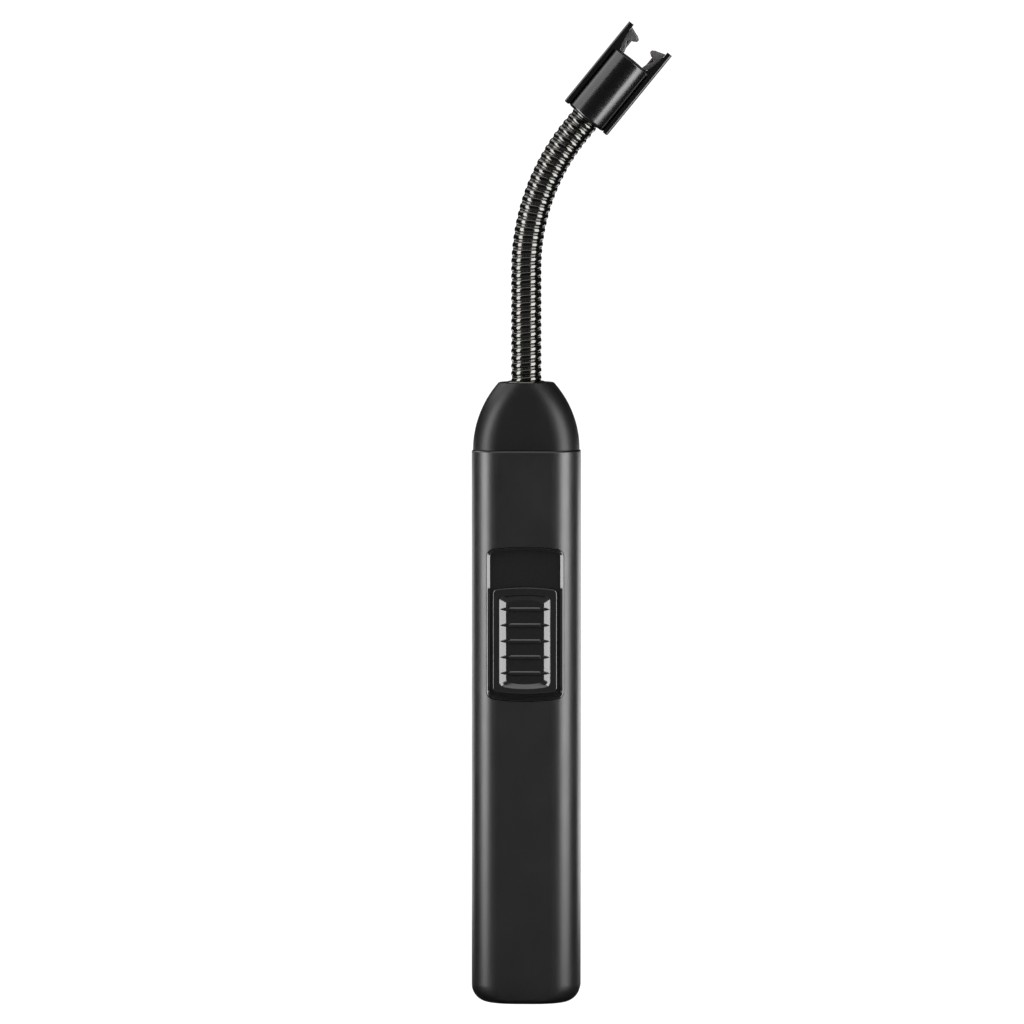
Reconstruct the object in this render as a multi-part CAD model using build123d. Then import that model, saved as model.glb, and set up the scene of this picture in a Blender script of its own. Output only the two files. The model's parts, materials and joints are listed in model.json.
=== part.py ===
"""Rechargeable arc lighter with a sliding thumb switch and a flexible neck.

Millimetres. +Z runs up the body, +X to the right and the thumb slider faces -Y.
The origin is the middle of the flat end that the lighter stands on.
Each function makes one or a few separate pieces, and each piece is written to parts/NAME.step.
"""

from build123d import *
import math
import os

# ---------------------------------------------------------------- driving dimensions
BODY_WIDTH = 21.7
BODY_DEPTH = 15.0
BODY_HEIGHT = 110.7
BODY_CORNER = 5.6
WALL = 1.3
FLOOR = 2.2
FOOT_SIDE = 3.8  # how far the foot rounds in at each side
FOOT_HEIGHT = 3.6  # over what height it does so
FOOT_EDGE = 1.0  # the same at front and back
FOOT_EDGE_HEIGHT = 0.9
SEAM_STEP = 0.25  # the nose is this much smaller all round than the body
SEAM_GAP = 0.15

NOSE_TOP = 124.2
NOSE_ARC = 20.4  # radius of the nose's outline seen from the front
NOSE_ARC_SIDE = 46.0  # the same seen from the side
NOSE_CORNER = 5.35
NOSE_WALL = 1.2
SPIGOT_LENGTH = 4.5

WINDOW_WIDTH = 15.6
WINDOW_LOW = 60.65
WINDOW_HIGH = 91.7
WINDOW_SAG = 0.75  # rise of the arched ends of the window
WINDOW_CORNER = 1.5
BEZEL_GAP = 0.12  # groove between the case and the bezel
BEZEL_RIM = 0.15
BEZEL_SLOPE = 0.5  # width of the bevel inside the rim
BEZEL_BEVEL = (0.5, 0.78)  # where the bevel begins and ends behind the body's front
BEZEL_RECESS = 1.5
BEZEL_FLOOR = 0.9

SLIDER_WIDTH = 12.9
SLIDER_LOW = 62.25
SLIDER_HIGH = 83.6
SLIDER_SAG = 0.5
SLIDER_CORNER = 0.95
SLIDER_PROUD = 0.85  # how far it stands out of the body's front
SLIDER_BORDER = 1.35
THUMB_BANKS = (  # the dish's wall in steps: width at the sides, width at the ends, depth
    (0.12, 0.07, 0.053), (0.42, 0.3, 0.31), (0.75, 0.5, 0.38), (0.3, 0.3, 0.06),
)
THUMB_CORNER = 0.9
THUMB_RECESS = sum(bank[2] for bank in THUMB_BANKS)
THUMB_SLOPE = sum(bank[0] for bank in THUMB_BANKS)
RIB_COUNT = 5
RIB_PITCH = 3.19
RIB_LOWEST = 66.45
RIB_CREST = 6.3
RIB_SECTION = ((-0.62, 0), (-0.27, 0.5), (0.16, 0.5), (0.38, 0.33), (0.42, 0))  # z, height
RIB_STOP = ((3.3, 0.1, 0.04), (3.95, 0.5, 0.6), (5.2, 0.55, 0.74))  # x, half width, height
SLIDE_TRAVEL = 7.0

NECK_PITCH = 1.5  # one rib of the wound hose
NECK_RADIUS = 3.05
NECK_VALLEY = 2.75
NECK_BORE = 1.7
RIBS_PER_LINK = 3
LINK_PITCH = RIBS_PER_LINK * NECK_PITCH
FIRST_PIVOT = 2.25  # above the nose
BALL_RADIUS = 3.07
SOCKET_RADIUS = 3.12
PIVOT_BENDS = [0, 0, 0, 0, 0, 8.75, 0, 11.83, 0, 11.83, 0, 6.79]  # degrees at rest, about +Y
LEAD_RADIUS = 0.55
LEAD_OFFSET = 0.85

HEAD_FROM_LAST_PIVOT = 4.0
HEAD_RADIUS = 4.45
HEAD_HEIGHT = 14.95
HEAD_DOME = 28.0  # radius of its slightly domed top
HEAD_BORE = 3.65
HEAD_TOP_WALL = 1.2
GUARD_HEIGHT = 20.4
GUARD_OUTER = 5.5
GUARD_INNER = 4.35
GUARD_DEPTH = 3.8
HOOK_WIDTH = 2.8
HOOK_BALL = 0.75  # radius of its rounded end
HOOK_TIP = 1.85  # the ceramic ends this far from the head's axis
HOOK_BALL_X = HOOK_TIP + HOOK_BALL
HOOK_BALL_Z = 18.5
SPARK_HALF_GAP = 1.6

FIT = 0.05  # clearance between pieces that only touch

# ---------------------------------------------------------------- derived sizes
HALF_W = BODY_WIDTH / 2
HALF_D = BODY_DEPTH / 2
FRONT = -HALF_D
CAVITY_W = BODY_WIDTH - 2 * WALL
CAVITY_D = BODY_DEPTH - 2 * WALL
CAVITY_CORNER = BODY_CORNER - WALL
BEZEL_FACE = FRONT + BEZEL_RECESS  # y of the bezel's floor
BEZEL_BACK = BEZEL_FACE + BEZEL_FLOOR
SLIDER_FACE = FRONT - SLIDER_PROUD
LINK_COUNT = len(PIVOT_BENDS) - 1


def lift(shape, x=0.0, y=0.0, z=0.0):
    """The shape moved by x, y, z."""
    return Pos(x, y, z) * shape


def block(x0, x1, y0, y1, z0, z1):
    """A box between two corners."""
    middle = Pos((x0 + x1) / 2, (y0 + y1) / 2, (z0 + z1) / 2)
    return middle * Box(x1 - x0, y1 - y0, z1 - z0)


def rod(radius, z0, z1, x=0.0, y=0.0):
    """A cylinder along Z."""
    return Pos(x, y, (z0 + z1) / 2) * Cylinder(radius, z1 - z0)


def cross_rod(radius, y0, y1, x, z):
    """A cylinder along Y."""
    return Pos(x, (y0 + y1) / 2, z) * Rot(90, 0, 0) * Cylinder(radius, y1 - y0)


def tube(outer, inner, z0, z1):
    return rod(outer, z0, z1) - rod(inner, z0 - 1, z1 + 1)


def rounded_prism(width, depth, corner, z0, z1):
    return lift(extrude(RectangleRounded(width, depth, corner), z1 - z0), z=z0)


def rounded_loft(sections, corner):
    """A solid through rounded rectangles, each (z, half width, half depth)."""
    faces = []
    for z, w, d in sections:
        radius = min(corner, w - 0.1, d - 0.1)
        faces.append(Pos(0, 0, z) * RectangleRounded(2 * w, 2 * d, radius))
    return loft([face.faces()[0] for face in faces])


def arched_face(width, low, high, sag, corner, y):
    """A face in the plane of that y, with straight sides and gently arched ends."""
    w = width / 2
    outline = [
        Line((-w, low + sag), (-w, high - sag)),
        ThreePointArc((-w, high - sag), (0, high), (w, high - sag)),
        Line((w, high - sag), (w, low + sag)),
        ThreePointArc((w, low + sag), (0, low), (-w, low + sag)),
    ]
    face = make_face(outline)
    face = fillet(face.vertices(), corner)
    return Plane(origin=(0, y, 0), x_dir=(1, 0, 0), z_dir=(0, -1, 0)) * face


def arched_block(width, low, high, sag, corner, y0, y1):
    """That face made solid from y0 back to y1."""
    return extrude(arched_face(width, low, high, sag, corner, y1), y1 - y0)


def arched_taper(width, low, high, sag, corner, slope, end_slope, y0, y1):
    """A solid from the face at y0 to a smaller face at y1: by slope at each side and end_slope
    at each end."""
    inner_corner = max(corner - slope * 0.4, 0.4)
    front = arched_face(width, low, high, sag, corner, y0)
    back = arched_face(
        width - 2 * slope, low + end_slope, high - end_slope, sag * 0.85, inner_corner, y1
    )
    return loft([front.faces()[0], back.faces()[0]], ruled=True)


# ---------------------------------------------------------------- body
def foot_sections(heights):
    """Heights and half sizes of the rounded foot."""
    sections = []
    for z in heights:
        side = FOOT_SIDE * (1 - math.sqrt(1 - (1 - z / FOOT_HEIGHT) ** 2))
        edge_share = 1 - min(z / FOOT_EDGE_HEIGHT, 1.0)
        edge = FOOT_EDGE * (1 - math.sqrt(1 - edge_share**2))
        sections.append((z, HALF_W - side, HALF_D - edge))
    return sections


def body_shell():
    """One-piece case: closed rounded foot, open top, window at the front and port in the foot."""
    edge = FOOT_EDGE_HEIGHT
    low_foot = rounded_loft(foot_sections([0, 0.02, 0.1, 0.25, 0.45, 0.68, edge]), BODY_CORNER)
    high_foot = rounded_loft(foot_sections([edge, 1.3, 1.8, 2.4, 3.0, FOOT_HEIGHT]), BODY_CORNER)
    sleeve = rounded_prism(BODY_WIDTH, BODY_DEPTH, BODY_CORNER, FOOT_HEIGHT, BODY_HEIGHT)
    sleeve = chamfer(sleeve.faces().sort_by(Axis.Z)[-1].edges(), SEAM_STEP)
    shell = low_foot + high_foot + sleeve
    shell -= rounded_prism(CAVITY_W, CAVITY_D, CAVITY_CORNER, FLOOR, BODY_HEIGHT + 1)
    shell -= arched_block(
        WINDOW_WIDTH, WINDOW_LOW, WINDOW_HIGH, WINDOW_SAG, WINDOW_CORNER, FRONT - 1, FRONT + WALL + 1
    )
    shell -= port_slot(0.1, -1, FLOOR + 1)
    shell -= rod(LIGHT_PIPE_RADIUS + FIT, -1, FLOOR + 1, y=LIGHT_PIPE_Y)
    return shell


def nose_sections(shrink, z_low, z_high, count):
    """Half sizes of the nose from z_low to z_high, made smaller by shrink."""
    sections = []
    for k in range(count):
        z = z_low + (z_high - z_low) * k / (count - 1)
        t = z - BODY_HEIGHT
        side = NOSE_ARC - math.sqrt(NOSE_ARC**2 - t**2)
        edge = NOSE_ARC_SIDE - math.sqrt(NOSE_ARC_SIDE**2 - t**2)
        sections.append((z, HALF_W - SEAM_STEP - side - shrink, HALF_D - SEAM_STEP - edge - shrink))
    return sections


def nose_cone():
    """Tapered cover on top of the body, with a spigot that plugs into it and a hole for the neck."""
    low = BODY_HEIGHT + SEAM_GAP
    outside = rounded_loft(nose_sections(0, low, NOSE_TOP, 8), NOSE_CORNER)
    outside = chamfer(outside.faces().sort_by(Axis.Z)[-1].edges(), 0.12)
    inner_top = NOSE_TOP - NECK_SEAT
    inside = rounded_loft(nose_sections(NOSE_WALL, low - 0.01, inner_top, 6), NOSE_CORNER - NOSE_WALL)
    spigot = rounded_prism(
        CAVITY_W - 2 * FIT, CAVITY_D - 2 * FIT, CAVITY_CORNER - FIT, low - SPIGOT_LENGTH, low
    )
    nose = outside - inside + spigot
    hollow = rounded_prism(
        CAVITY_W - 2 * NOSE_WALL, CAVITY_D - 2 * NOSE_WALL, CAVITY_CORNER - NOSE_WALL,
        low - SPIGOT_LENGTH - 1, low + 0.01,
    )
    nose -= hollow
    for x in (-BOSS_X, BOSS_X):
        boss = rod(BOSS_RADIUS, low - SPIGOT_LENGTH, low + 4, x=x, y=BOSS_Y)
        nose += boss & rounded_loft(nose_sections(0.2, low - SPIGOT_LENGTH, low + 5, 5), NOSE_CORNER - 0.2)
    nose -= rod(FERRULE_RADIUS + FIT, inner_top - 1, NOSE_TOP + 1)
    for x in (-BOSS_X, BOSS_X):
        nose -= rod(SCREW_RADIUS, low - SPIGOT_LENGTH - 1, low + 2.5, x=x, y=BOSS_Y)
    return nose


# ---------------------------------------------------------------- charging port
PORT_WIDTH = 8.94
PORT_HEIGHT = 3.26
PORT_LOW = 0.45
PORT_LENGTH = 7.3
PORT_SKIN = 0.3
LIGHT_PIPE_RADIUS = 0.8
LIGHT_PIPE_Y = -4.2
CHARGE_BOARD = 1.0
CHARGE_LEAD_Y = PORT_HEIGHT / 2 + 0.02 + CHARGE_BOARD + 0.5


def port_slot(grow, z0, z1):
    width = PORT_WIDTH + 2 * grow
    height = PORT_HEIGHT + 2 * grow
    return lift(extrude(SlotOverall(width, height), z1 - z0), z=z0)


def usb_port_shell():
    """Pressed steel shell of the charging socket, open at the foot."""
    shell = port_slot(0, PORT_LOW, PORT_LOW + PORT_LENGTH)
    shell -= port_slot(-PORT_SKIN, PORT_LOW - 1, PORT_LOW + PORT_LENGTH - 0.6)
    return shell


def usb_port_tongue():
    """Contact tongue in the middle of the socket, with its base block."""
    high = PORT_LOW + PORT_LENGTH - 0.6
    base = port_slot(-PORT_SKIN - 0.02, high - 1.6, high)
    return base + block(-3.35, 3.35, -0.35, 0.35, PORT_LOW + 0.9, high - 1.6)


def charge_boards():
    """Circuit board that carries the socket, and a strip of board over the light pipe."""
    y = PORT_HEIGHT / 2 + 0.02
    board = block(-7.2, 7.2, y, y + CHARGE_BOARD, FLOOR + 0.3, 10.2)
    board += block(2.0, 5.4, y + CHARGE_BOARD, y + 2.2, 4.6, 8.2)
    strip = block(-3.0, 3.0, LIGHT_PIPE_Y - 1.2, LIGHT_PIPE_Y + 1.2, 5.3, 6.1)
    return [board, strip]


def charge_light():
    """Light-emitting diode beside the socket."""
    return block(-0.8, 0.8, LIGHT_PIPE_Y - 0.8, LIGHT_PIPE_Y + 0.8, 4.4, 5.3)


def charge_light_pipe():
    """Clear rod that brings the diode's light to the foot."""
    pipe = rod(LIGHT_PIPE_RADIUS, 0.12, 4.2, y=LIGHT_PIPE_Y)
    return pipe + rod(LIGHT_PIPE_RADIUS + 0.5, FLOOR + 0.1, 3.0, y=LIGHT_PIPE_Y)


# ---------------------------------------------------------------- chassis and power
TRAY_HALF = 9.05
TRAY_BACK = 6.05
TRAY_FRONT = -3.7
TRAY_WALL = 1.0
TRAY_LOW = 10.9
TRAY_HIGH = 106.0
PLATE = 1.2
BATTERY_RADIUS = 5.0
BATTERY_LOW = 13.2
BATTERY_LENGTH = 44.0
BOARD_LOW = 60.2
BOARD_HIGH = 84.6
BOARD_HALF = 7.4
BOARD_FRONT = -0.5
BOARD_BACK = 0.5
SPRING_Y = -3.55
SPRING_TOP = 91.6
COIL_LOW = 86.0
COIL_HIGH = 103.2
BOSS_X = 6.6
BOSS_Y = 2.2
BOSS_RADIUS = 1.7
SCREW_RADIUS = 0.8
BOARD_POST_RADIUS = 1.6
POST_PLACES = [(-5.6, 62.4), (5.6, 82.4)]


def chassis_tray():
    """Moulded channel, open at the front, that carries everything in the body."""
    tray = block(-TRAY_HALF, TRAY_HALF, TRAY_FRONT, TRAY_BACK, TRAY_LOW, TRAY_HIGH)
    tray = fillet(tray.edges().filter_by(Axis.Z).group_by(Axis.Y)[-1], 4.0)
    inner_half = TRAY_HALF - TRAY_WALL
    inner = block(-inner_half, inner_half, TRAY_FRONT - 1, TRAY_BACK - TRAY_WALL, TRAY_LOW - 1, TRAY_HIGH - PLATE)
    inner = fillet(inner.edges().filter_by(Axis.Z).group_by(Axis.Y)[-1], 3.0)
    tray -= inner
    tray += block(-inner_half, inner_half, TRAY_FRONT, TRAY_BACK - 2.0, TRAY_LOW, TRAY_LOW + PLATE)
    tray += block(-inner_half, inner_half, -1.0, TRAY_BACK - 2.0, BATTERY_LOW + BATTERY_LENGTH + 1, 59.4)
    tray += block(-inner_half, inner_half, TRAY_FRONT, SPRING_Y + 1.6, SPRING_TOP, SPRING_TOP + PLATE)
    tray += block(-7.5, 7.5, SPRING_Y - 1.5, TRAY_FRONT, SPRING_TOP, SPRING_TOP + PLATE)
    tray += rod(0.75, CARRIAGE_HIGH + 8.0, SPRING_TOP + 0.1, y=SPRING_Y)
    for x, z in POST_PLACES:
        tray += cross_rod(BOARD_POST_RADIUS, BOARD_BACK, TRAY_BACK - TRAY_WALL / 2, x, z)
        tray -= cross_rod(0.6, BOARD_BACK - 1, TRAY_BACK - TRAY_WALL, x, z)
    for x in (-BOSS_X, BOSS_X):
        tray -= rod(SCREW_RADIUS + 0.1, TRAY_HIGH - PLATE - 1, TRAY_HIGH + 1, x=x, y=BOSS_Y)
    tray -= rod(2.4, TRAY_HIGH - PLATE - 1, TRAY_HIGH + 1)
    for x in (-2.0, 2.0):
        tray -= rod(0.7, TRAY_LOW - 1, TRAY_LOW + PLATE + 1, x=x, y=CHARGE_LEAD_Y)
    tray -= block(-4.2, -2.0, 0.0, TRAY_BACK - 2.0, 56, 60)
    return tray


def chassis_screws():
    """Two screws that hold the chassis up against the nose."""
    screws = []
    for x in (-BOSS_X, BOSS_X):
        shank = rod(SCREW_RADIUS, TRAY_HIGH - PLATE, BODY_HEIGHT + 2, x=x, y=BOSS_Y)
        head = rod(1.35, TRAY_HIGH - PLATE - 1.0, TRAY_HIGH - PLATE, x=x, y=BOSS_Y)
        head -= cross_slot(x, BOSS_Y, TRAY_HIGH - PLATE - 1.0)
        screws.append(shank + head)
    return screws


def cross_slot(x, y, z):
    """Driver recess in the underside of a screw head."""
    arms = block(-0.8, 0.8, -0.18, 0.18, -0.4, 0.45) + block(-0.18, 0.18, -0.8, 0.8, -0.4, 0.45)
    return lift(arms, x, y, z)


def battery_cell():
    """Cylindrical lithium cell with its raised positive button."""
    high = BATTERY_LOW + BATTERY_LENGTH
    can = rod(BATTERY_RADIUS, BATTERY_LOW, high - 0.8)
    can = chamfer(can.edges().filter_by(GeomType.CIRCLE), 0.35)
    return can + rod(2.2, high - 1.0, high)


def battery_tabs():
    """Nickel strips welded on the cell's two ends."""
    low = block(-1.5, 1.5, -2.0, 4.2, BATTERY_LOW - 0.15, BATTERY_LOW)
    high_z = BATTERY_LOW + BATTERY_LENGTH
    high = block(-1.5, 1.5, -2.0, 1.8, high_z, high_z + 0.15)
    return [low, high]


def battery_pad():
    """Foam strip that keeps the cell from rattling against the case."""
    return block(-3.0, 3.0, -6.1, -5.05, 24.0, 46.0)


def bent_wire(points, radius, bend):
    """A round wire along straight runs joined by arcs."""
    path = FilletPolyline(*points, radius=bend)
    start = path @ 0
    section = Plane(origin=start, z_dir=path % 0) * Circle(radius)
    return sweep(section, path=path)


def battery_lead_positive():
    """Lead from the cell's button up to the main board."""
    x = -3.1
    points = [(x, 1.9, 57.45), (x, 1.9, 61.4), (x, 0.98, 64.4), (x, 0.98, 68.0)]
    lead = bent_wire(points, 0.45, 1.2)
    return lead + block(x - 0.5, -1.5, 1.3, 1.8, 57.2, 57.6)


def battery_lead_negative():
    """Lead from the cell's base, up the side of the tray, to the main board."""
    x = 6.3
    points = [(x, 3.0, 13.2), (x, 3.0, 56.6)]
    path = Line(*points)
    section = Plane(origin=points[0], z_dir=(0, 0, 1)) * Circle(0.45)
    lead = sweep(section, path=path)
    return lead + block(1.5, x, 2.6, 3.4, 13.05, 13.2)


def charge_leads():
    """Two leads from the charging board up through the tray's floor."""
    leads = []
    for x in (-2.0, 2.0):
        leads.append(rod(0.5, 9.0, 12.6, x=x, y=CHARGE_LEAD_Y))
    return leads


def main_board():
    """Main circuit board behind the slider, on two posts of the chassis."""
    board = block(-BOARD_HALF, BOARD_HALF, BOARD_FRONT, BOARD_BACK, BOARD_LOW, BOARD_HIGH)
    for x, z in POST_PLACES:
        board -= cross_rod(0.75, BOARD_FRONT - 1, BOARD_BACK + 1, x, z)
    return board


def board_components():
    """Transistor, controller, inductor and capacitors on the back of the board."""
    back = BOARD_BACK
    parts = [
        block(-2.2, 3.8, back, back + 1.9, 77.0, 82.0),
        block(-1.6, 2.4, back, back + 1.4, 71.0, 75.0),
        block(-2.0, 3.0, back, back + 2.6, 63.6, 68.6),
        block(4.6, 6.0, back, back + 0.9, 72.0, 74.6),
        block(4.6, 6.0, back, back + 0.9, 67.0, 69.6),
        block(-6.4, -5.6, back, back + 0.7, 72.0, 73.6),
    ]
    return parts


def board_screws():
    """Two screws that hold the main board on its posts."""
    screws = []
    for x, z in POST_PLACES:
        shank = cross_rod(0.6, BOARD_FRONT - 0.1, TRAY_BACK - TRAY_WALL - 0.4, x, z)
        head = cross_rod(1.2, BOARD_FRONT - 0.85, BOARD_FRONT, x, z)
        slot = block(-0.14, 0.14, BOARD_FRONT - 1.0, BOARD_FRONT - 0.5, z - 0.75, z + 0.75)
        bar = block(x - 0.75, x + 0.75, BOARD_FRONT - 1.0, BOARD_FRONT - 0.5, z - 0.14, z + 0.14)
        screws.append(shank + head - lift(slot, x=x) - bar)
    return screws


def fixed_contacts():
    """Two plated contact strips on the front of the board, which the slider bridges."""
    y = BOARD_FRONT
    return [block(s * 1.6 - 0.6, s * 1.6 + 0.6, y - 0.15, y, 76.2, 82.0) for s in (-1, 1)]


def spark_transformer():
    """Potted step-up transformer below the nose."""
    case = block(-6.0, 6.0, -1.9, 4.8, COIL_LOW, COIL_HIGH)
    case = fillet(case.edges().filter_by(Axis.Z), 0.8)
    for s in (-1, 1):
        case -= rod(LEAD_RADIUS, COIL_HIGH - 1.5, COIL_HIGH + 1, x=s * LEAD_OFFSET)
    return case


# ---------------------------------------------------------------- slider
STEM_LOW = 69.7
STEM_HIGH = 75.7
STEM_HALF = 2.0
CARRIAGE_LOW = 66.2
CARRIAGE_HIGH = 80.1


def bezel_block(inset, y0, y1):
    """The window's opening made smaller by inset, from y0 back to y1."""
    return arched_block(
        WINDOW_WIDTH - 2 * inset, WINDOW_LOW + inset, WINDOW_HIGH - inset, WINDOW_SAG,
        WINDOW_CORNER - inset, y0, y1,
    )


def slide_bezel():
    """Glossy insert in the window: thin rim, bevel, floor and a slot for the slider's stem."""
    skin = rounded_prism(BODY_WIDTH - 2 * FIT, BODY_DEPTH - 2 * FIT, BODY_CORNER - FIT, 50, 100)
    plug = bezel_block(BEZEL_GAP, FRONT - 1, BEZEL_BACK)
    rim = BEZEL_GAP + BEZEL_RIM
    high, low = FRONT + BEZEL_BEVEL[0], FRONT + BEZEL_BEVEL[1]
    bevel = arched_taper(
        WINDOW_WIDTH - 2 * rim, WINDOW_LOW + rim, WINDOW_HIGH - rim, WINDOW_SAG,
        WINDOW_CORNER - rim, BEZEL_SLOPE, BEZEL_SLOPE * 0.7, high, low,
    )
    recess = bezel_block(rim, FRONT - 2, high) + bevel
    recess += bezel_block(rim + BEZEL_SLOPE, low, BEZEL_FACE)
    slot = block(-STEM_HALF - 0.25, STEM_HALF + 0.25, BEZEL_FACE - 1, BEZEL_BACK + 1,
                 STEM_LOW - 0.2, STEM_HIGH + SLIDE_TRAVEL + 0.2)
    cavity = rounded_prism(CAVITY_W - 2 * FIT, CAVITY_D - 2 * FIT, CAVITY_CORNER - FIT, 50, 100)
    insert = plug & skin
    for x in (-7.3, 7.3):
        for z in (66.0, 86.0):
            insert += block(x - 1.2, x + 1.2, FRONT + WALL, BEZEL_BACK + 0.7, z - 2, z + 2) & cavity
    return insert - recess - slot


def thumb_slider():
    """Thumb piece with a raised border and cross ribs in a dished recess."""
    low, high = SLIDER_LOW, SLIDER_HIGH
    back = BEZEL_FACE - FIT
    pad = arched_block(SLIDER_WIDTH, low, high, SLIDER_SAG, SLIDER_CORNER, SLIDER_FACE, back)
    pad = fillet(pad.faces().sort_by(Axis.Y)[0].edges(), 0.3)
    floor = SLIDER_FACE + THUMB_RECESS
    pad -= thumb_dish(SLIDER_WIDTH - 2 * SLIDER_BORDER, low + SLIDER_BORDER - 0.3, high - SLIDER_BORDER)
    half = SLIDER_WIDTH / 2 - SLIDER_BORDER + 0.1
    keep = block(-half, half, SLIDER_FACE + 0.01, back, low, high)
    for k in range(RIB_COUNT):
        z = RIB_LOWEST + RIB_PITCH * k
        pad += thumb_rib(z, floor)
        for s in (-1, 1):
            pad += rib_stop(s, z, floor) & keep
    socket = block(-STEM_HALF, STEM_HALF, back - 0.9, back + 1, STEM_LOW, STEM_HIGH)
    return pad - socket


def thumb_dish(width, low, high):
    """The recess of the thumb piece, its wall banked in steps like a shallow dish."""
    dish = None
    y = SLIDER_FACE
    for side, end, depth in THUMB_BANKS:
        outer = arched_face(width, low, high, SLIDER_SAG, THUMB_CORNER, y)
        width, low, high, y = width - 2 * side, low + end, high - end, y + depth
        inner = arched_face(width, low, high, SLIDER_SAG, THUMB_CORNER, y)
        step = loft([outer.faces()[0], inner.faces()[0]], ruled=True)
        dish = step if dish is None else dish + step
    return dish


def rib_face(x, z, floor, share):
    """The rib's section at x, as high as that share of the whole."""
    points = [(x, floor + 0.1, z + RIB_SECTION[0][0])]
    points += [(x, floor - h * share, z + dz) for dz, h in RIB_SECTION]
    points += [(x, floor + 0.1, z + RIB_SECTION[-1][0])]
    return make_face(Polyline(*points, close=True))


def thumb_rib(z, floor):
    """Raised crest of one cross rib, a little lower at its ends."""
    near, far = RIB_CREST / 2 - 0.2, RIB_CREST / 2 + 0.1
    faces = [rib_face(x, z, floor, share) for x, share in
             ((-far, 0.45), (-near, 1), (near, 1), (far, 0.45))]
    rib = loft([faces[1], faces[2]], ruled=True)
    return rib + loft([faces[0], faces[1]], ruled=True) + loft([faces[2], faces[3]], ruled=True)


def rib_stop(side, z, floor):
    """Small roof that joins one end of a rib to the dish's side."""
    faces = []
    for x, half, height in RIB_STOP:
        points = [(side * x, floor + 0.1, z - half), (side * x, floor - height, z - 0.03),
                  (side * x, floor - height, z + 0.03), (side * x, floor + 0.1, z + half)]
        faces.append(make_face(Polyline(*points, close=True)))
    return loft(faces[:2], ruled=True) + loft(faces[1:], ruled=True)


def slide_carriage():
    """Inner half of the slider, with the stem that the thumb piece sits on."""
    carriage = block(-5.6, 5.6, BEZEL_BACK + 0.1, BEZEL_BACK + 2.3, CARRIAGE_LOW, CARRIAGE_HIGH)
    carriage = fillet(carriage.edges().filter_by(Axis.Y), 0.6)
    stem_tip = BEZEL_FACE - FIT - 0.9
    carriage += block(-STEM_HALF, STEM_HALF, stem_tip, BEZEL_BACK + 0.2, STEM_LOW, STEM_HIGH)
    carriage -= rod(1.75, CARRIAGE_HIGH - 4.0, CARRIAGE_HIGH + 1, y=SPRING_Y)
    return carriage


def contact_leaf():
    """Springy bridge on the back of the carriage, which joins the fixed contacts when pushed up."""
    y = BEZEL_BACK + 2.3
    leaf = block(-2.6, 2.6, y, y + 0.2, 67.4, 72.4)
    tip_y = BOARD_FRONT - 0.15 - 0.25
    arm_path = [(y + 0.1, 68.4), (y + 0.55, 72.0), (tip_y - 0.1, 74.6), (y + 0.9, 75.6)]
    arms = None
    for x in (-1.6, 1.6):
        line = Polyline(*[(0, a, b) for a, b in arm_path])
        face = Plane(origin=line @ 0, x_dir=(1, 0, 0), z_dir=line % 0) * Rectangle(0.9, 0.18)
        arm = lift(sweep(face, path=line, transition=Transition.RIGHT), x=x)
        arms = arm if arms is None else arms + arm
    return leaf + arms


def return_spring():
    """Compression spring that pushes the slider back down."""
    low = CARRIAGE_HIGH - 4.0
    height = SPRING_TOP - low
    helix = Helix(pitch=height / 9.2, height=height - 0.44, radius=1.25)
    section = Plane(origin=helix @ 0, z_dir=helix % 0) * Circle(0.2)
    return lift(sweep(section, path=helix, is_frenet=True), y=SPRING_Y, z=low + 0.22)


# ---------------------------------------------------------------- neck
FERRULE_RADIUS = 3.6
NECK_SEAT = 2.0  # thickness of the nose's top wall
HOSE_START = -9.0


def pivot_frames():
    """Place and lean of each pivot: (x, z, degrees after the pivot)."""
    x, z, lean = 0.0, NOSE_TOP + FIRST_PIVOT, 0.0
    frames = []
    for k, bend in enumerate(PIVOT_BENDS):
        if k:
            x += LINK_PITCH * math.sin(math.radians(lean))
            z += LINK_PITCH * math.cos(math.radians(lean))
        lean += bend
        frames.append((x, z, lean))
    return frames


def placed(shape, frame):
    """A shape, or a list of them, made along +Z from the origin and put at that frame."""
    if isinstance(shape, list):
        return [placed(item, frame) for item in shape]
    x, z, lean = frame
    return Location((x, 0, z), (0, lean, 0)) * shape


def ribbed_tube(z_top, rib_count):
    """Solid of rib_count ribs below z_top, with no bore yet."""
    points_low = z_top - rib_count * NECK_PITCH
    edges = [Line((0, points_low), (NECK_VALLEY, points_low))]
    for k in range(rib_count):
        z = points_low + k * NECK_PITCH
        edges.append(
            ThreePointArc(
                (NECK_VALLEY, z), (NECK_RADIUS, z + NECK_PITCH / 2), (NECK_VALLEY, z + NECK_PITCH)
            )
        )
    edges.append(Line((NECK_VALLEY, z_top), (0, z_top)))
    edges.append(Line((0, z_top), (0, points_low)))
    return revolve(Plane.XZ * make_face(edges), Axis.Z)


def capped(shape, pivot_z):
    """The shape with everything above the next pivot kept inside the ball about that pivot."""
    keep = rod(NECK_RADIUS + 1, pivot_z - 40, pivot_z) + lift(Sphere(BALL_RADIUS), z=pivot_z)
    return shape & keep


def socket_rim():
    """Height above a pivot at which the next hose piece starts."""
    return math.sqrt(SOCKET_RADIUS**2 - NECK_VALLEY**2)


def neck_link():
    """One stretch of the wound hose, between the pivot at the origin and the next pivot."""
    rim = socket_rim()
    link = ribbed_tube(rim + RIBS_PER_LINK * NECK_PITCH, RIBS_PER_LINK)
    link += rod(NECK_VALLEY, rim, LINK_PITCH + BALL_RADIUS)
    link = capped(link, LINK_PITCH) - Sphere(SOCKET_RADIUS)
    return link - rod(NECK_BORE, 0, LINK_PITCH + 4)


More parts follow.
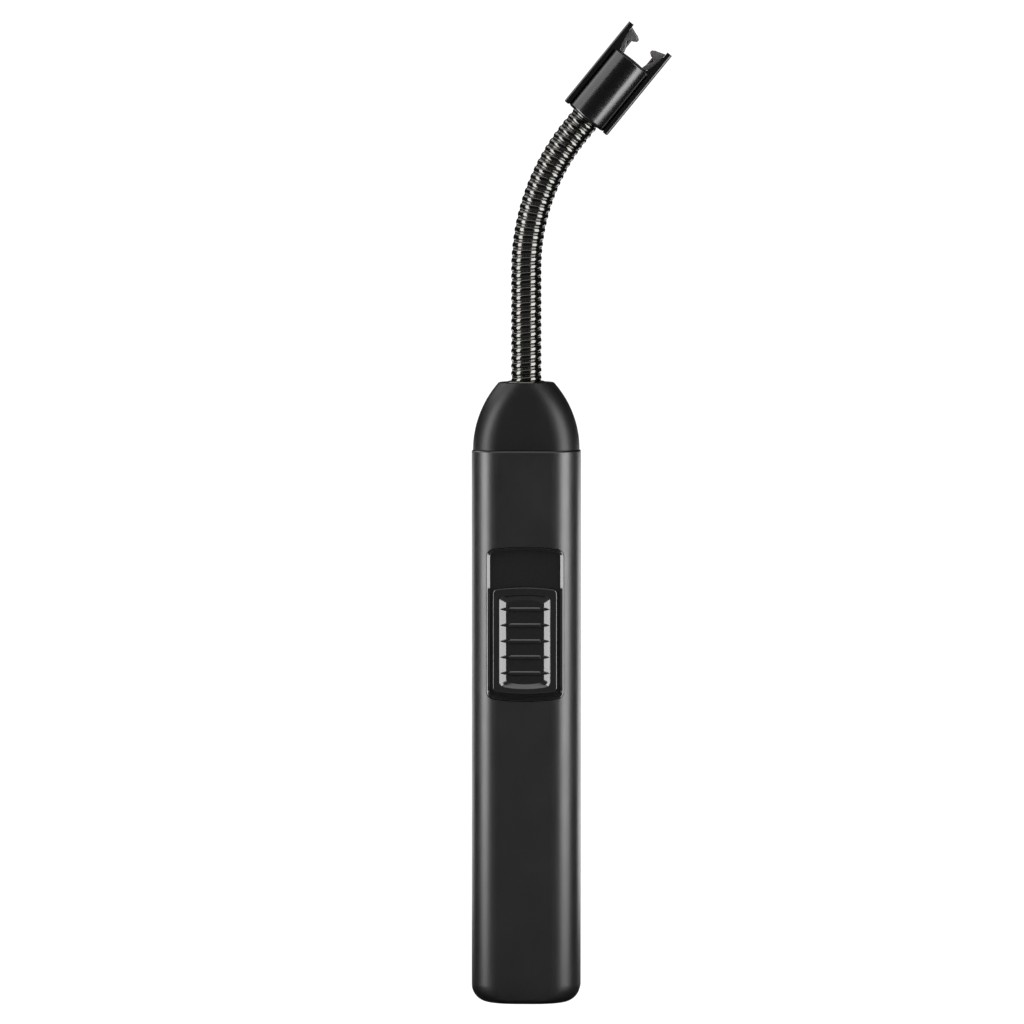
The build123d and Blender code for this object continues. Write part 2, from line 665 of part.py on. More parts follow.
def neck_leads():
    """The two high-voltage leads' stretch inside one link."""
    leads = []
    for x in (-LEAD_OFFSET, LEAD_OFFSET):
        lead = rod(LEAD_RADIUS, 2.0, LINK_PITCH + 4, x=x)
        lead &= lift(Sphere(BALL_RADIUS), z=LINK_PITCH)
        leads.append(lead - Sphere(SOCKET_RADIUS))
    return leads


def neck_base_hose():
    """Bottom end of the hose, held in the ferrule, with two ribs above the nose."""
    hose = ribbed_tube(FIRST_PIVOT + socket_rim(), 2)
    hose += rod(NECK_VALLEY, HOSE_START, FIRST_PIVOT + BALL_RADIUS)
    hose = capped(hose, FIRST_PIVOT) - rod(NECK_BORE, HOSE_START - 1, FIRST_PIVOT + 4)
    return lift(hose, z=NOSE_TOP)


def neck_base_ferrule():
    """Flanged sleeve that clamps the hose in the nose's hole."""
    low = NOSE_TOP + HOSE_START + 0.6
    sleeve = tube(FERRULE_RADIUS, NECK_VALLEY + 0.02, low, NOSE_TOP + 0.01)
    profile = Polyline(
        (NECK_RADIUS + 0.1, 0), (3.95, 0), (3.85, 0.15), (NECK_RADIUS + 0.3, 0.3), (NECK_RADIUS + 0.1, 0.3),
        close=True,
    )
    flange = revolve(Plane.XZ * make_face(profile), Axis.Z)
    return sleeve + lift(flange, z=NOSE_TOP) + tube(NECK_RADIUS + 0.2, NECK_VALLEY + 0.02, NOSE_TOP - 0.5, NOSE_TOP)


def neck_lock_washer():
    """Washer under the nose's top wall."""
    high = NOSE_TOP - NECK_SEAT - FIT
    return tube(4.3, FERRULE_RADIUS + FIT, high - 0.5, high)


def neck_lock_nut():
    """Hexagon nut that pulls the ferrule down on the nose."""
    high = NOSE_TOP - NECK_SEAT - FIT - 0.5
    across_flats = 8.7
    hexagon = RegularPolygon(across_flats / 2, 6, major_radius=False, rotation=0)
    nut = lift(extrude(hexagon, 2.2), z=high - 2.2)
    return nut - rod(FERRULE_RADIUS, high - 3, high + 1)


def base_leads():
    """The high-voltage leads from the transformer up to the first pivot."""
    leads = []
    for x in (-LEAD_OFFSET, LEAD_OFFSET):
        lead = rod(LEAD_RADIUS, COIL_HIGH - 1.5, NOSE_TOP + FIRST_PIVOT + 4, x=x)
        above = rod(5, NOSE_TOP + FIRST_PIVOT, NOSE_TOP + FIRST_PIVOT + 6)
        above -= lift(Sphere(BALL_RADIUS), z=NOSE_TOP + FIRST_PIVOT)
        leads.append(lead - above)
    return leads


# ---------------------------------------------------------------- head, made upright from its lower face
def head_frame():
    """Place and lean of the head's lower face."""
    x, z, lean = pivot_frames()[-1]
    x += HEAD_FROM_LAST_PIVOT * math.sin(math.radians(lean))
    z += HEAD_FROM_LAST_PIVOT * math.cos(math.radians(lean))
    return (x, z, lean)


def guard_channel(side):
    """One prong: a plate with two tapering flanges that shield the ceramic from front and back."""
    half = GUARD_DEPTH / 2
    plate = block(GUARD_INNER, GUARD_OUTER, -half, half, 0, GUARD_HEIGHT)
    plate = fillet(plate.edges().filter_by(Axis.Z).group_by(Axis.X)[-1], 0.5)
    plate = chamfer(plate.faces().sort_by(Axis.Z)[0].edges().filter_by(Axis.Y), 0.2)
    web = [
        Line((GUARD_INNER + 0.2, HEAD_HEIGHT - 0.7), (GUARD_INNER + 0.2, 19.0)),
        Line((GUARD_INNER + 0.2, 19.0), (GUARD_INNER - 0.1, 19.0)),
        ThreePointArc((GUARD_INNER - 0.1, 19.0), (4.0, 17.1), (3.5, 15.3)),
        Line((3.5, 15.3), (3.3, HEAD_HEIGHT - 0.7)),
        Line((3.3, HEAD_HEIGHT - 0.7), (GUARD_INNER + 0.2, HEAD_HEIGHT - 0.7)),
    ]
    face = Plane.XZ * make_face(web)
    flange = extrude(face, half - HOOK_WIDTH / 2 - FIT)
    near = lift(flange, y=-HOOK_WIDTH / 2 - FIT)
    far = lift(flange, y=half)
    prong = plate + near + far
    return prong if side > 0 else mirror(prong, Plane.YZ)


def hook_outline():
    """Side of one ceramic hook: root in the head, stem behind the guard, arm towards the middle."""
    back = GUARD_INNER - FIT
    return [
        Line((2.35, 8.7), (2.35, 14.9)),
        ThreePointArc((2.35, 14.9), (2.72, 16.1), (3.3, 17.1)),
        Line((3.3, 17.1), (2.75, 17.95)),
        Line((2.75, 17.95), (HOOK_BALL_X, HOOK_BALL_Z)),
        Line((HOOK_BALL_X, HOOK_BALL_Z), (HOOK_BALL_X, HOOK_BALL_Z + HOOK_BALL)),
        Line((HOOK_BALL_X, HOOK_BALL_Z + HOOK_BALL), (back, 19.85)),
        Line((back, 19.85), (back, 15.8)),
        Line((back, 15.8), (3.4, 15.2)),
        Line((3.4, 15.2), (3.4, 8.7)),
        Line((3.4, 8.7), (2.35, 8.7)),
    ]


def ceramic_hook(side):
    """One ceramic insulator, with its electrode's channel."""
    half = HOOK_WIDTH / 2
    hook = extrude(Plane.XZ * make_face(hook_outline()), half, both=True)
    hook += cross_rod(HOOK_BALL, -half, half, HOOK_BALL_X, HOOK_BALL_Z)
    hook &= block(0, 6, -half, half, HEAD_HEIGHT - 0.1, 21) + block(0, 6, -0.9, 0.9, 8, HEAD_HEIGHT)
    side_edges = [e for e in hook.edges() if abs(abs(e.center().Y) - half) < 0.01]
    hook = fillet([e for e in side_edges if e.center().Z > 15.6 and e.center().X < 3.6], 0.3)
    hook -= electrode(1)
    return hook if side > 0 else mirror(hook, Plane.YZ)


def electrode(side):
    """Metal pin up the hook's stem, ending in the rounded spark point."""
    stem = rod(0.35, 6.6, HOOK_BALL_Z, x=2.95)
    arm = Pos((2.95 + SPARK_HALF_GAP + 0.5) / 2, 0, HOOK_BALL_Z) * Rot(0, 90, 0)
    arm *= Cylinder(0.5, 2.95 + 0.35 - SPARK_HALF_GAP - 0.5)
    point = lift(Sphere(0.5), x=SPARK_HALF_GAP + 0.5, z=HOOK_BALL_Z)
    pin = stem + arm + point
    return pin if side > 0 else mirror(pin, Plane.YZ)


def head_barrel():
    """Solid barrel with a rounded lower edge and a slightly domed top."""
    r, low, rim = HEAD_RADIUS, 0.6, 0.2

    def dome(x):
        return HEAD_HEIGHT - HEAD_DOME + math.sqrt(HEAD_DOME**2 - x**2)

    high = dome(r - rim)
    profile = [
        Line((0, 0), (r - low, 0)),
        ThreePointArc((r - low, 0), (r - low * 0.293, low * 0.293), (r, low)),
        Line((r, low), (r, high - rim)),
        ThreePointArc((r, high - rim), (r - rim * 0.293, high - rim * 0.293), (r - rim, high)),
        ThreePointArc((r - rim, high), (r / 2, dome(r / 2)), (0, HEAD_HEIGHT)),
        Line((0, HEAD_HEIGHT), (0, 0)),
    ]
    return revolve(Plane.XZ * make_face(profile), Axis.Z)


def head_housing():
    """Head cover: round barrel with a bore for the hose, and two guard prongs."""
    housing = head_barrel() + guard_channel(1) + guard_channel(-1)
    housing -= rod(HEAD_BORE, -1, HEAD_HEIGHT - HEAD_TOP_WALL)
    for s in (-1, 1):
        housing -= block(s * 2.87 - 0.58, s * 2.87 + 0.58, -0.95, 0.95, 12, HEAD_HEIGHT + 0.2)
        channel = block(s * 3.4 - 1.1, s * 3.4 + 0.92, -HOOK_WIDTH / 2 - FIT, HOOK_WIDTH / 2 + FIT,
                        HEAD_HEIGHT - 0.3, 20.1)
        housing -= channel
    return housing


def head_core():
    """Ceramic plug in the barrel that holds both insulators and parts the leads."""
    core = rod(HEAD_BORE - FIT, 7.2, HEAD_HEIGHT - HEAD_TOP_WALL - FIT)
    for s in (-1, 1):
        core -= block(s * 2.875 - 0.535, s * 2.875 + 0.535, -0.91, 0.91, 8.65, HEAD_HEIGHT)
        core -= rod(0.36, 6, 9.2, x=s * 2.95)
    return core


def head_collar():
    """Crimped sleeve that fixes the head on the hose's upper end."""
    return tube(HEAD_BORE - FIT, NECK_VALLEY + 0.02, 0.65, 4.2)


def neck_end_hose():
    """Top end of the hose, from the last pivot into the head; made with the pivot at its origin."""
    rim = socket_rim()
    top = HEAD_FROM_LAST_PIVOT + 4.1
    ribs = ribbed_tube(rim + 2 * NECK_PITCH, 2)
    hose = ribs + rod(NECK_VALLEY, rim + 0.2, top)
    hose -= Sphere(SOCKET_RADIUS)
    return hose - rod(NECK_BORE, 0, top + 1)


def head_leads():
    """The leads from the last pivot up to the two electrodes; made with the pivot at its origin."""
    leads = []
    for s in (-1, 1):
        points = [
            (s * LEAD_OFFSET, 0, 2.2),
            (s * LEAD_OFFSET, 0, HEAD_FROM_LAST_PIVOT + 4.3),
            (s * 2.95, 0, HEAD_FROM_LAST_PIVOT + 5.9),
            (s * 2.95, 0, HEAD_FROM_LAST_PIVOT + 6.6),
        ]
        lead = bent_wire(points, LEAD_RADIUS, 0.7)
        leads.append(lead - Sphere(SOCKET_RADIUS))
    return leads


# ---------------------------------------------------------------- all pieces
def head_pieces():
    frame = head_frame()
    pieces = {
        "head_housing": head_housing(),
        "head_core": head_core(),
        "head_collar": head_collar(),
        "electrode_hooks": [ceramic_hook(-1), ceramic_hook(1)],
        "electrodes": [electrode(-1), electrode(1)],
    }
    return {name: placed(shape, frame) for name, shape in pieces.items()}


def neck_pieces():
    frames = pivot_frames()
    link = neck_link()
    leads = neck_leads()
    pieces = {}
    for k in range(LINK_COUNT):
        pieces[f"neck_link_{k + 1:02d}"] = placed(link, frames[k])
        pieces[f"neck_leads_{k + 1:02d}"] = placed(leads, frames[k])
    pieces["neck_end_hose"] = placed(neck_end_hose(), frames[-1])
    pieces["head_leads"] = placed(head_leads(), frames[-1])
    return pieces


def body_pieces():
    return {
        "body_shell": body_shell(),
        "nose_cone": nose_cone(),
        "usb_port_shell": usb_port_shell(),
        "usb_port_tongue": usb_port_tongue(),
        "charge_boards": charge_boards(),
        "charge_light": charge_light(),
        "charge_light_pipe": charge_light_pipe(),
        "charge_leads": charge_leads(),
        "chassis_tray": chassis_tray(),
        "chassis_screws": chassis_screws(),
        "battery_cell": battery_cell(),
        "battery_tabs": battery_tabs(),
        "battery_pad": battery_pad(),
        "battery_lead_positive": battery_lead_positive(),
        "battery_lead_negative": battery_lead_negative(),
        "main_board": main_board(),
        "board_components": board_components(),
        "board_screws": board_screws(),
        "fixed_contacts": fixed_contacts(),
        "spark_transformer": spark_transformer(),
        "base_leads": base_leads(),
        "slide_bezel": slide_bezel(),
        "thumb_slider": thumb_slider(),
        "slide_carriage": slide_carriage(),
        "contact_leaf": contact_leaf(),
        "return_spring": return_spring(),
        "neck_base_ferrule": neck_base_ferrule(),
        "neck_lock_washer": neck_lock_washer(),
        "neck_lock_nut": neck_lock_nut(),
        "neck_base_hose": neck_base_hose(),
    }


def write(name, shape):
    """One STEP file per piece; a list of shapes becomes a group of separate solids."""
    solids = []
    for item in shape if isinstance(shape, list) else [shape]:
        solids.extend(item.solids())
    whole = solids[0] if len(solids) == 1 else Compound(children=solids)
    export_step(whole, f"parts/{name}.step")


os.makedirs("parts", exist_ok=True)
for name, shape in {**body_pieces(), **neck_pieces(), **head_pieces()}.items():
    write(name, shape)
for k, (x, z, lean) in enumerate(pivot_frames()):
    print(f"pivot {k:2d}: x {x:7.3f}  z {z:8.3f}  lean {lean:6.2f}")
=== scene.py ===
"""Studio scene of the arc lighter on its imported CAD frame. Metres, +Z up, the slider faces -Y."""

import bpy
import json
import math
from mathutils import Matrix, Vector


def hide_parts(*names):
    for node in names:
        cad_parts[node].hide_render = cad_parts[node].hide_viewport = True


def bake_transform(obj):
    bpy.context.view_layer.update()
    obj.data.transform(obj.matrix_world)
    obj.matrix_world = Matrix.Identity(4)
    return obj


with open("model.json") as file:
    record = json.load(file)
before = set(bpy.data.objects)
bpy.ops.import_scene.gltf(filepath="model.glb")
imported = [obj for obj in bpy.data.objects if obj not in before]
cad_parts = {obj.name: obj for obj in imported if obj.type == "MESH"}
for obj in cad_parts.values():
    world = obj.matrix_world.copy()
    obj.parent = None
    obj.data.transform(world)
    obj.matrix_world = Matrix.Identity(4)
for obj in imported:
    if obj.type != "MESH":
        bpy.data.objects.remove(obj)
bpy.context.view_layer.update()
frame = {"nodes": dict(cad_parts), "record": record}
NODES = frame["nodes"]

MM = 0.001


# ---------------------------------------------------------------- materials
FINE_DETAIL = 4.0  # octaves of the grain
FINE_ROUGHNESS = 0.6
PATCH_SCALE = 120  # patches per metre of the slow change in gloss
PATCH_DETAIL = 2.0
PATCH_CHANGE = 0.02  # how much roughness it adds or takes away
NOISE_LOW = 0.3  # the part of the noise's range that is spread over a finish
NOISE_HIGH = 0.7


def noise(tree, scale, detail, roughness=0.5, stretch=(1, 1, 1)):
    """Noise in the object's own metres; scale is bumps per metre."""
    coord = tree.nodes.new("ShaderNodeTexCoord")
    mapping = tree.nodes.new("ShaderNodeMapping")
    mapping.inputs["Scale"].default_value = stretch
    texture = tree.nodes.new("ShaderNodeTexNoise")
    texture.inputs["Scale"].default_value = scale
    texture.inputs["Detail"].default_value = detail
    texture.inputs["Roughness"].default_value = roughness
    tree.links.new(coord.outputs["Object"], mapping.inputs["Vector"])
    tree.links.new(mapping.outputs["Vector"], texture.inputs["Vector"])
    return texture.outputs["Fac"]


def number_ramp(tree, source, low, high):
    """The noise spread over the numbers low to high."""
    node = tree.nodes.new("ShaderNodeMapRange")
    node.inputs["From Min"].default_value = NOISE_LOW
    node.inputs["From Max"].default_value = NOISE_HIGH
    node.inputs["To Min"].default_value = low
    node.inputs["To Max"].default_value = high
    tree.links.new(source, node.inputs["Value"])
    return node.outputs["Result"]


def colour_ramp(tree, source, dark, light):
    """The noise spread over the colours dark to light."""
    node = tree.nodes.new("ShaderNodeValToRGB")
    first, last = node.color_ramp.elements
    first.position = NOISE_LOW
    first.color = (*dark, 1)
    last.position = NOISE_HIGH
    last.color = (*light, 1)
    tree.links.new(source, node.inputs["Fac"])
    return node.outputs["Color"]


def surface(name, dark, light, rough, metallic=0.0, grain=4000, bump_mm=0.0,
            stretch=(1, 1, 1), specular=0.5):
    """One finish: grain in colour and roughness, a slow patchy change, and a fine bump."""
    material = bpy.data.materials.new(name)
    material.use_nodes = True
    tree = material.node_tree
    shader = tree.nodes["Principled BSDF"]
    fine = noise(tree, grain, FINE_DETAIL, FINE_ROUGHNESS, stretch)
    broad = noise(tree, PATCH_SCALE, PATCH_DETAIL)
    tree.links.new(colour_ramp(tree, fine, dark, light), shader.inputs["Base Color"])
    total = tree.nodes.new("ShaderNodeMath")
    total.operation = "ADD"
    tree.links.new(number_ramp(tree, fine, *rough), total.inputs[0])
    tree.links.new(number_ramp(tree, broad, -PATCH_CHANGE, PATCH_CHANGE), total.inputs[1])
    tree.links.new(total.outputs["Value"], shader.inputs["Roughness"])
    shader.inputs["Metallic"].default_value = metallic
    shader.inputs["Specular IOR Level"].default_value = specular
    if bump_mm:
        bump = tree.nodes.new("ShaderNodeBump")
        bump.inputs["Distance"].default_value = bump_mm * MM
        bump.inputs["Strength"].default_value = 1.0
        tree.links.new(fine, bump.inputs["Height"])
        tree.links.new(bump.outputs["Normal"], shader.inputs["Normal"])
    return material


def outer_finishes():
    """What shows from outside: the case, the switch, the neck and the head."""
    return {
        "case_black": surface(
            "case_black_grain", (0.0055, 0.0052, 0.0053), (0.0085, 0.0079, 0.0081), (0.33, 0.41),
            grain=4200, bump_mm=0.003,
        ),
        "nose_black": surface(
            "nose_black", (0.0026, 0.0028, 0.0028), (0.004, 0.0042, 0.0042), (0.4, 0.45),
            grain=5200, bump_mm=0.001, specular=0.25,
        ),
        "gloss_black_plastic": surface(
            "gloss_black_plastic", (0.015, 0.015, 0.015), (0.02, 0.02, 0.02), (0.1, 0.15),
            grain=2500, bump_mm=0.0003,
        ),
        "head_gloss_black": surface(
            "head_gloss_black", (0.0025, 0.0027, 0.0027), (0.004, 0.0042, 0.0043), (0.2, 0.25),
            grain=2200, bump_mm=0.0002,
        ),
        "neck_black_chrome": surface(
            "neck_black_chrome", (0.058, 0.057, 0.054), (0.078, 0.076, 0.072), (0.1, 0.17),
            metallic=1.0, grain=2600, bump_mm=0.0006,
        ),
        "ceramic_grey": surface(
            "ceramic_grey", (0.05, 0.045, 0.045), (0.06, 0.054, 0.054), (0.42, 0.5),
            grain=1200, bump_mm=0.0002,
        ),
        # The electrodes' dark matte grey is painted shade at the tips, laid over the finish of their
        # slot.
        "painted_shade_tip": surface(
            "painted_shade_tip", (0.035, 0.031, 0.03), (0.05, 0.045, 0.043), (0.45, 0.55), grain=1500,
        ),
        "clear_pipe": surface(
            "clear_pipe", (0.8, 0.83, 0.84), (0.88, 0.9, 0.91), (0.08, 0.16), grain=1500,
        ),
    }


def inner_finishes():
    """What the case, the nose and the head hide."""
    return {
        "steel": surface(
            "brushed_steel", (0.42, 0.42, 0.43), (0.6, 0.6, 0.61), (0.22, 0.34),
            metallic=1.0, grain=3000, stretch=(1, 1, 0.08), bump_mm=0.0006,
        ),
        "nickel": surface(
            "nickel_plate", (0.55, 0.52, 0.47), (0.7, 0.67, 0.6), (0.18, 0.28),
            metallic=1.0, grain=2500, bump_mm=0.0005,
        ),
        "contact_brass": surface(
            "contact_brass", (0.55, 0.38, 0.13), (0.7, 0.5, 0.2), (0.25, 0.35),
            metallic=1.0, grain=2500, bump_mm=0.0005,
        ),
        "tray_plastic": surface(
            "tray_plastic", (0.05, 0.05, 0.053), (0.08, 0.08, 0.085), (0.5, 0.62),
            grain=3000, bump_mm=0.003,
        ),
        "board_green": surface(
            "board_green", (0.008, 0.07, 0.03), (0.015, 0.11, 0.05), (0.28, 0.38),
            grain=2500, bump_mm=0.0008,
        ),
        "chip_black": surface(
            "chip_black", (0.012, 0.012, 0.013), (0.025, 0.025, 0.027), (0.45, 0.6),
            grain=4000, bump_mm=0.002,
        ),
        "potting_black": surface(
            "potting_black", (0.01, 0.01, 0.011), (0.02, 0.02, 0.022), (0.25, 0.4),
            grain=1200, bump_mm=0.003,
        ),
        "cell_wrap": surface(
            "cell_wrap", (0.02, 0.1, 0.26), (0.03, 0.14, 0.33), (0.25, 0.35),
            grain=1500, bump_mm=0.001,
        ),
        "foam_grey": surface(
            "foam_grey", (0.08, 0.08, 0.085), (0.16, 0.16, 0.17), (0.85, 0.95),
            grain=1500, bump_mm=0.05,
        ),
        "lamp_white": surface(
            "lamp_white", (0.75, 0.74, 0.66), (0.85, 0.84, 0.78), (0.2, 0.3), grain=1500,
        ),
        "lead_red": surface(
            "lead_red", (0.35, 0.01, 0.01), (0.45, 0.02, 0.015), (0.35, 0.45), grain=2000,
        ),
        "lead_black": surface(
            "lead_black", (0.01, 0.01, 0.01), (0.02, 0.02, 0.02), (0.35, 0.45), grain=2000,
        ),
        "lead_white": surface(
            "lead_white", (0.6, 0.58, 0.52), (0.72, 0.7, 0.64), (0.35, 0.45), grain=2000,
        ),
    }


def dress_nodes(finishes):
    """Every CAD node in the finish of its slot, and the electrodes in a dark matte grey over it:
    painted shade at their tips.
    """
    for part in frame["record"]["subparts"]:
        materials = NODES[part["node"]].data.materials
        materials.clear()
        materials.append(finishes[part["material_slot"]])
    # Dark matte grey on the electrodes: painted shade at the tips.
    NODES["electrodes"].data.materials[0] = finishes["painted_shade_tip"]


MATERIALS = {**outer_finishes(), **inner_finishes()}
dress_nodes(MATERIALS)


# ---------------------------------------------------------------- wound neck
# Millimetres along the neck's axis from the top of the nose.
NOSE_TOP = 124.2
STRAIGHT = 22.6
BEND_RADIUS = 43.8
BEND_ANGLE = math.radians(39.2)
NECK_LENGTH = 55.75
PITCH = 1.5  # one turn of the winding
LINK = 4.5  # from one pivot to the next
LINKS = 11
INTO_NOSE = 3.0  # how far the hose goes on inside the nose
INTO_HEAD = 2.5

VALLEY_RADIUS = 2.8
RIB_HEIGHT = 0.24
RIB_END = 0.72  # the round rib takes this much of a turn
RIB_FULLNESS = 0.6  # 0.5 would be a round section and 1 a parabola
RIDGE_HEIGHT = 0.08
RIDGE_START = 0.77  # the narrow ridge of the inner strip
RIDGE_END = 0.95

HOSE_SIDES = 72
STEPS_PER_PITCH = 26
SLOPE_STEP = 0.02  # mm either way, for the hose's slope
SLOPE_ANGLE = 0.01


def centreline(s):
    """Point and unit tangent of the neck's axis s mm above the nose."""
    arc_end = STRAIGHT + BEND_RADIUS * BEND_ANGLE
    if s <= STRAIGHT:
        return Vector((0, 0, NOSE_TOP + s)), Vector((0, 0, 1))
    turn = min((s - STRAIGHT) / BEND_RADIUS, BEND_ANGLE)
    point = Vector((
        BEND_RADIUS * (1 - math.cos(turn)), 0, NOSE_TOP + STRAIGHT + BEND_RADIUS * math.sin(turn)
    ))
    tangent = Vector((math.sin(turn), 0, math.cos(turn)))
    if s > arc_end:
        point += tangent * (s - arc_end)
    return point, tangent


def hose_radius(u):
    """Outline of the winding over one pitch, u from 0 to 1: a round rib, then a narrow ridge."""
    u %= 1.0
    if u < RIB_END:
        t = u / RIB_END * 2 - 1
        return VALLEY_RADIUS + RIB_HEIGHT * (1 - t * t) ** RIB_FULLNESS
    if u < RIDGE_START or u > RIDGE_END:
        return VALLEY_RADIUS
    t = (u - RIDGE_START) / (RIDGE_END - RIDGE_START) * 2 - 1
    return VALLEY_RADIUS + RIDGE_HEIGHT * math.sqrt(max(0.0, 1 - t * t))


def hose_point(s, angle):
    """A point of the hose's surface; angle 0 is the front and a quarter turn is the right."""
    point, tangent = centreline(s)
    right = Vector((tangent.z, 0, -tangent.x))
    radius = hose_radius(s / PITCH - angle / math.tau)
    return point + (right * math.sin(angle) - Vector((0, 1, 0)) * math.cos(angle)) * radius


def hose_piece(name, low, high):
    """The hose's surface between two heights, with normals that match at its ends."""
    count = max(2, round((high - low) / (PITCH / STEPS_PER_PITCH)))
    verts, normals, faces = [], [], []
    for i in range(count + 1):
        s = low + (high - low) * i / count
        for j in range(HOSE_SIDES):
            a = math.tau * j / HOSE_SIDES
            verts.append(hose_point(s, a) * MM)
            along = hose_point(s + SLOPE_STEP, a) - hose_point(s - SLOPE_STEP, a)
            across = hose_point(s, a + SLOPE_ANGLE) - hose_point(s, a - SLOPE_ANGLE)
            normals.append(across.cross(along).normalized())
    for i in range(count):
        row, above = i * HOSE_SIDES, (i + 1) * HOSE_SIDES
        for j in range(HOSE_SIDES):
            k = (j + 1) % HOSE_SIDES
            faces.append((row + j, row + k, above + k, above + j))
    mesh = bpy.data.meshes.new(name)
    mesh.from_pydata(verts, [], faces)
    for face in mesh.polygons:
        face.use_smooth = True
    mesh.normals_split_custom_set_from_vertices(normals)
    mesh.materials.append(MATERIALS["neck_black_chrome"])
    piece = bpy.data.objects.new(name, mesh)
    bpy.context.collection.objects.link(piece)
    return piece


def make_hose():
    """One stretch of winding for each pivot, drawn in place of the CAD neck pieces that it hides."""
    for k in range(LINKS + 1):
        low = LINK * k if k else -INTO_NOSE
        high = LINK * (k + 1) if k < LINKS else NECK_LENGTH + INTO_HEAD
        piece = hose_piece(f"neck_hose_{k:02d}", low, high)
        start = centreline(LINK * k)[0] * MM
        end = centreline(LINK * (k + 1))[0] * MM
        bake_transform(piece)
        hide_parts(f"neck_link_{k:02d}" if k else "neck_base_hose")
        if k == LINKS:
            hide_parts("neck_end_hose")


make_hose()


# ---------------------------------------------------------------- studio
WORLD_WHITE = 1.15
WORLD_IN_GLOSS = 0.06
FLOOR_WHITE = 1.1
FLOOR_HALF_WIDTH = 30
FLOOR_BACK = 40
FLOOR_SPLIT = -0.02  # y where the strip of painted light in front of the lighter ends and the painted shade under and behind it begins
FLOOR_FRONT = -0.4
# What the object sees of the table: painted shade under and behind the lighter, and painted light on
# the strip in front of it.
BACK_PAINTED_SHADE = 0.04
FRONT_PAINTED_LIGHT = 0.3

SOFT_BOXES = (  # name, azimuth, elevation, distance, width, height, radiance, aim
    ("key_left", -62, 0, 0.24, 0.12, 0.33, 11.0, (0, 0, 0.125)),
    ("key_right", 56, 0, 0.24, 0.15, 0.38, 11.0, (0, 0, 0.105)),
    ("side_left", -95, 37, 0.45, 0.78, 0.2, 2.8, (0.015, 0, 0.18)),
    ("overhead", 0, 74, 0.5, 0.5, 0.26, 2.3, (0, 0, 0.08)),
    ("front_panel", 0, 0, 0.5, 0.34, 0.11, 0.02, (0, 0, 0.055)),
    ("front_low", 0, 0, 0.5, 0.34, 0.045, 0.3, (0, 0, 0.012)),
    ("back_left", -145, 0, 0.2, 0.12, 0.1, 2.2, (0, 0, 0.05)),
    ("back_right", 145, 0, 0.2, 0.12, 0.1, 2.6, (0, 0, 0.05)),
)

CAMERA_AZIMUTH = 2.0
CAMERA_ELEVATION = 3.4
CAMERA_DISTANCE = 2.4
CAMERA_TARGET = Vector((-0.00286, 0, 0.09818))
SENSOR_WIDTH = 36
VIEW_WIDTH = 0.2048  # metres across the picture at the target
CLIP_NEAR = 0.05
CLIP_FAR = 100


def direction(azimuth, elevation):
    """Unit vector from the object; azimuth in degrees goes from the front towards +X."""
    a, e = math.radians(azimuth), math.radians(elevation)
    return Vector((math.sin(a) * math.cos(e), -math.cos(a) * math.cos(e), math.sin(e)))


def place(item, target, azimuth, elevation, distance):
    """The light or camera at a distance from the target, facing it."""
    away = direction(azimuth, elevation)
    item.location = target + away * distance
    item.rotation_mode = "QUATERNION"
    item.rotation_quaternion = (-away).to_track_quat("-Z", "Y")


def mixed(tree, ray, usual, special):
    """One shader for a kind of ray, and the usual one for the rest."""
    mix = tree.nodes.new("ShaderNodeMixShader")
    path = tree.nodes.new("ShaderNodeLightPath")
    tree.links.new(path.outputs[ray], mix.inputs["Fac"])
    tree.links.new(usual, mix.inputs[1])
    tree.links.new(special, mix.inputs[2])
    return mix.outputs["Shader"]


def white_light(tree, strength, kind="ShaderNodeEmission"):
    """White of a given strength, as an emission or a background."""
    node = tree.nodes.new(kind)
    node.inputs["Color"].default_value = (1, 1, 1, 1)
    node.inputs["Strength"].default_value = strength
    return node.outputs[0]


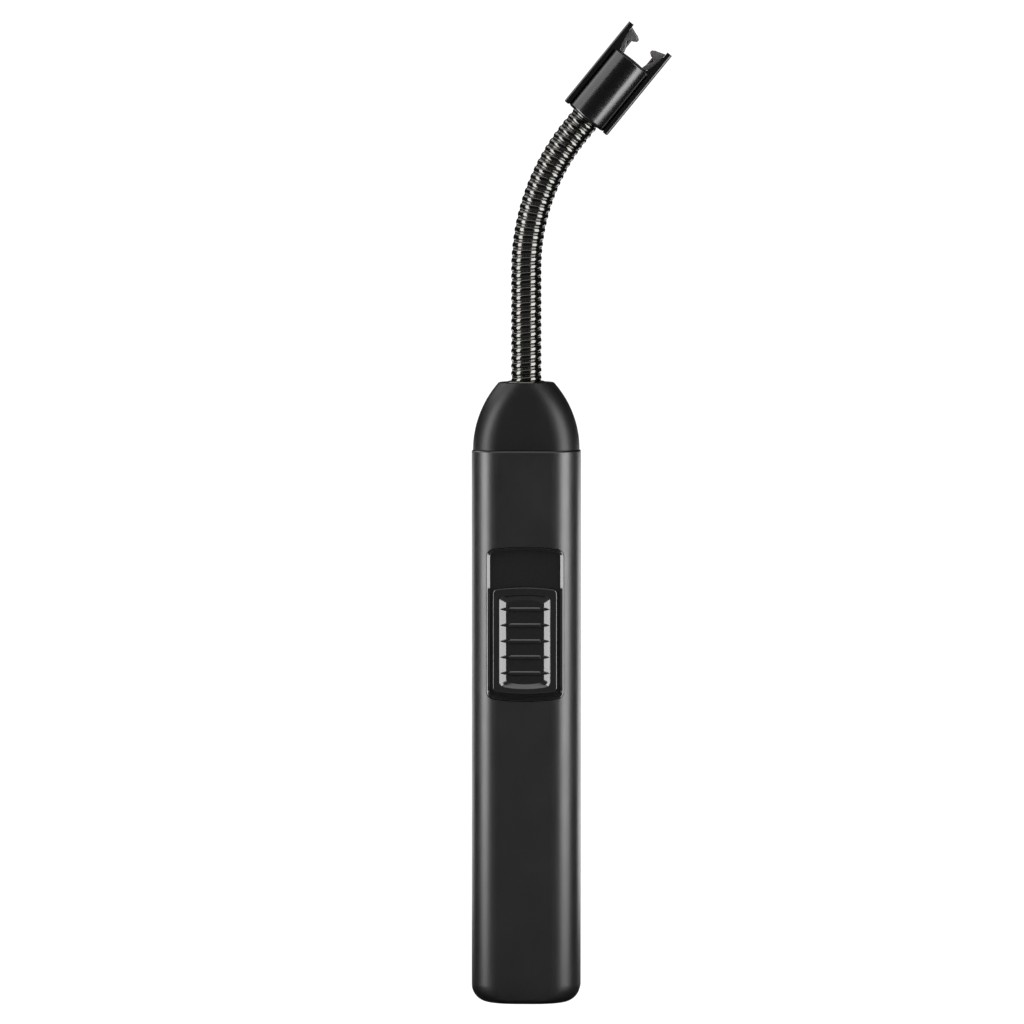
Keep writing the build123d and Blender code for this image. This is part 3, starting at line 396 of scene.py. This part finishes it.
def make_floor(name, near, far, painted_glow):
    """A strip of table from y near to y far: white to the camera, and dimmer to the object, as
    painted light on the strip in front of the lighter and painted shade under and behind it.
    """
    side = FLOOR_HALF_WIDTH
    mesh = bpy.data.meshes.new(name)
    corners = [(-side, near, 0), (side, near, 0), (side, far, 0), (-side, far, 0)]
    mesh.from_pydata(corners, [], [(0, 1, 2, 3)])
    material = bpy.data.materials.new(name)
    material.use_nodes = True
    tree = material.node_tree
    tree.nodes.clear()
    out = tree.nodes.new("ShaderNodeOutputMaterial")
    face = mixed(tree, "Is Camera Ray", white_light(tree, painted_glow), white_light(tree, FLOOR_WHITE))
    tree.links.new(face, out.inputs["Surface"])
    mesh.materials.append(material)
    floor = bpy.data.objects.new(name, mesh)
    bpy.context.collection.objects.link(floor)


def make_world():
    """White surroundings; what glossy surfaces see of them is darker, as in a draped studio."""
    world = bpy.data.worlds.new("studio")
    bpy.context.scene.world = world
    world.use_nodes = True
    tree = world.node_tree
    tree.nodes.clear()
    out = tree.nodes.new("ShaderNodeOutputWorld")
    white = white_light(tree, WORLD_WHITE, "ShaderNodeBackground")
    dim = white_light(tree, WORLD_IN_GLOSS, "ShaderNodeBackground")
    tree.links.new(mixed(tree, "Is Glossy Ray", white, dim), out.inputs["Surface"])


def make_lights():
    """Soft boxes that only glossy surfaces see."""
    for name, azimuth, elevation, distance, width, height, radiance, aim in SOFT_BOXES:
        light = bpy.data.lights.new(name, "AREA")
        light.shape = "RECTANGLE"
        light.size = width
        light.size_y = height
        light.energy = radiance * math.pi * width * height
        box = bpy.data.objects.new(name, light)
        place(box, Vector(aim), azimuth, elevation, distance)
        box.visible_camera = False
        box.visible_diffuse = False
        bpy.context.collection.objects.link(box)


def make_camera():
    """A long lens a little above the object, nearly square to its front."""
    data = bpy.data.cameras.new("camera")
    data.sensor_width = SENSOR_WIDTH
    data.lens = SENSOR_WIDTH * CAMERA_DISTANCE / VIEW_WIDTH
    data.clip_start = CLIP_NEAR
    data.clip_end = CLIP_FAR
    camera = bpy.data.objects.new("camera", data)
    bpy.context.collection.objects.link(camera)
    place(camera, CAMERA_TARGET, CAMERA_AZIMUTH, CAMERA_ELEVATION, CAMERA_DISTANCE)
    bpy.context.scene.camera = camera


# The table: painted shade under and behind the lighter, and a strip of painted light in front, both
# seen only by the object.
make_floor("studio_floor", FLOOR_SPLIT, FLOOR_BACK, BACK_PAINTED_SHADE)
make_floor("studio_floor_front", FLOOR_FRONT, FLOOR_SPLIT, FRONT_PAINTED_LIGHT)
make_world()
make_lights()
make_camera()
bpy.context.scene.view_settings.view_transform = "Standard"
